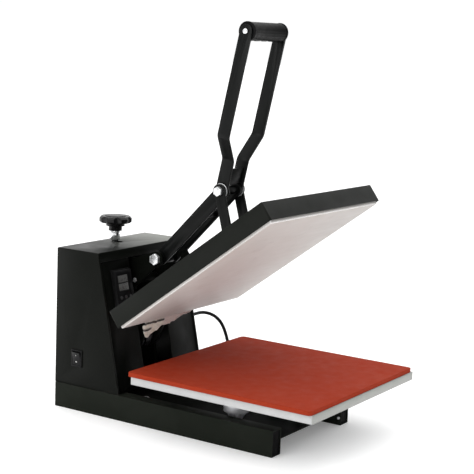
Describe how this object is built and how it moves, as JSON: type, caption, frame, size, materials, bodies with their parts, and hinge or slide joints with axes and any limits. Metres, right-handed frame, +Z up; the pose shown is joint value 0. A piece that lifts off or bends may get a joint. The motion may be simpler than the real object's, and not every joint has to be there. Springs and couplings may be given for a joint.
{
  "type": "clamshell heat press",
  "caption": "Clamshell heat press: square lower platen with silicone pad, hinged heated upper platen, toggle lever with hand grip, pressure knob and control housing.",
  "frame": {"origin": "on the bench, under the middle of the machine's box without its lead", "axes": "+Z up, the operator stands at -Y and looks along +Y, +X to the operator's right; the press stands open"},
  "size_m": [0.4448, 0.607, 0.7508],
  "materials": {
    "black_powder_coat": "satin powder coat",
    "black_bar": "smooth semi-gloss paint",
    "platen_casting": "machined, satin",
    "heated_face": "ground, heat-tinted",
    "silicone": "matte silicone foam",
    "bright_steel": "bright zinc plate",
    "dark_steel": "oiled",
    "black_plastic": "fine grained",
    "gloss_black": "polished",
    "grip_plastic": "soft touch",
    "button_plastic": "moulded",
    "display": "smoked window",
    "brass": "plain",
    "black_rubber": "matte",
    "glass_cloth": "woven glass fibre",
    "cord_jacket": "satin PVC"
  },
  "bodies": {
    "frame": {"left_base_rail": "black_powder_coat", "right_base_rail": "black_powder_coat", "rail_end_caps": "black_plastic", "base_deck": "black_powder_coat", "cap_screws": "bright_steel", "support_posts": "platen_casting", "lower_platen": "platen_casting", "silicone_pad": "silicone", "left_pivot_plate": "black_powder_coat", "right_pivot_plate": "black_powder_coat", "frame_spreaders": "dark_steel", "frame_bolts": "bright_steel", "main_hinge_shaft": "dark_steel", "counterbalance_springs": "dark_steel", "lever_pivot_bolt": "bright_steel", "housing_shell": "black_powder_coat", "front_panel": "black_powder_coat", "rear_panel": "black_powder_coat", "housing_screws": "bright_steel", "controller_case": "black_plastic", "display_windows": "display", "switch_bezel": "black_plastic", "cord_gland": "black_plastic", "power_cord": "cord_jacket", "power_cord_coil": "cord_jacket", "power_plug": "black_plastic", "plug_pins": "brass"},
    "upper_platen": {"left_beam_plate": "black_powder_coat", "right_beam_plate": "black_powder_coat", "beam_spreaders": "black_powder_coat", "platen_cover": "black_powder_coat", "insulation_blanket": "glass_cloth", "heating_plate": "heated_face", "heating_element": "dark_steel", "platen_bolts": "bright_steel", "stop_stud": "dark_steel", "stop_buffer": "black_rubber", "heat_apron": "glass_cloth"},
    "lever": {"left_lever_arm": "black_bar", "right_lever_arm": "black_bar", "lever_tubes": "black_bar", "elbow_pin": "bright_steel", "left_handle_bar": "black_bar", "right_handle_bar": "black_bar", "handle_web": "black_bar", "hand_grip": "grip_plastic", "grip_screws": "bright_steel"},
    "links": {"left_link": "black_bar", "right_link": "black_bar", "platen_pivot_bolt": "bright_steel", "elbow_bolts": "bright_steel"},
    "knob": {"pressure_knob": "black_plastic", "knob_cap": "black_plastic", "pressure_screw": "bright_steel"},
    "nut": {"pressure_nut": "dark_steel"},
    "rocker": {"power_rocker": "gloss_black"},
    "set_key": {"set_button": "button_plastic"},
    "up_key": {"up_button": "button_plastic"},
    "down_key": {"down_button": "button_plastic"}
  },
  "joints": [
    {"name": "platen_hinge", "type": "hinge", "parent": "frame", "child": "upper_platen", "pos_m": [0, 0.2039, 0.1236], "axis": [1, 0, 0], "range_deg": [0, 36.5], "stiffness_Nm_per_rad": 32, "springref_deg": -85.94},
    {"name": "lever_hinge", "type": "hinge", "parent": "frame", "child": "lever", "pos_m": [0, 0.142, 0.296], "axis": [1, 0, 0], "range_deg": [0, 63.1]},
    {"name": "link_hinge", "type": "hinge", "parent": "upper_platen", "child": "links", "pos_m": [0, -0.02011, 0.3533], "axis": [1, 0, 0], "range_deg": [-66.25, 0]},
    {"name": "knob_turn", "type": "hinge", "parent": "frame", "child": "knob", "pos_m": [0, 0.271, 0.34], "axis": [0, 0, 1], "range_deg": [-720, 720]},
    {"name": "nut_travel", "type": "slide", "parent": "frame", "child": "nut", "axis": [0, 0, 1], "range_m": [-0.0036, 0.0036]},
    {"name": "power_rock", "type": "hinge", "parent": "frame", "child": "rocker", "pos_m": [-0.137, 0.248, 0.1025], "axis": [0, 1, 0], "range_deg": [0, 16]},
    {"name": "set_key_press", "type": "slide", "parent": "frame", "child": "set_key", "axis": [0, 0.9777, -0.2099], "range_m": [0, 0.001], "stiffness_N_per_m": 300},
    {"name": "up_key_press", "type": "slide", "parent": "frame", "child": "up_key", "axis": [0, 0.9777, -0.2099], "range_m": [0, 0.001], "stiffness_N_per_m": 300},
    {"name": "down_key_press", "type": "slide", "parent": "frame", "child": "down_key", "axis": [0, 0.9777, -0.2099], "range_m": [0, 0.001], "stiffness_N_per_m": 300}
  ],
  "couplings": [
    {"joint": "lever_hinge", "follows": "platen_hinge", "ratio": 1.726},
    {"joint": "link_hinge", "follows": "platen_hinge", "ratio": -1.8123},
    {"joint": "nut_travel", "follows": "knob_turn", "m_per_rad": -0.00027852}
  ]
}
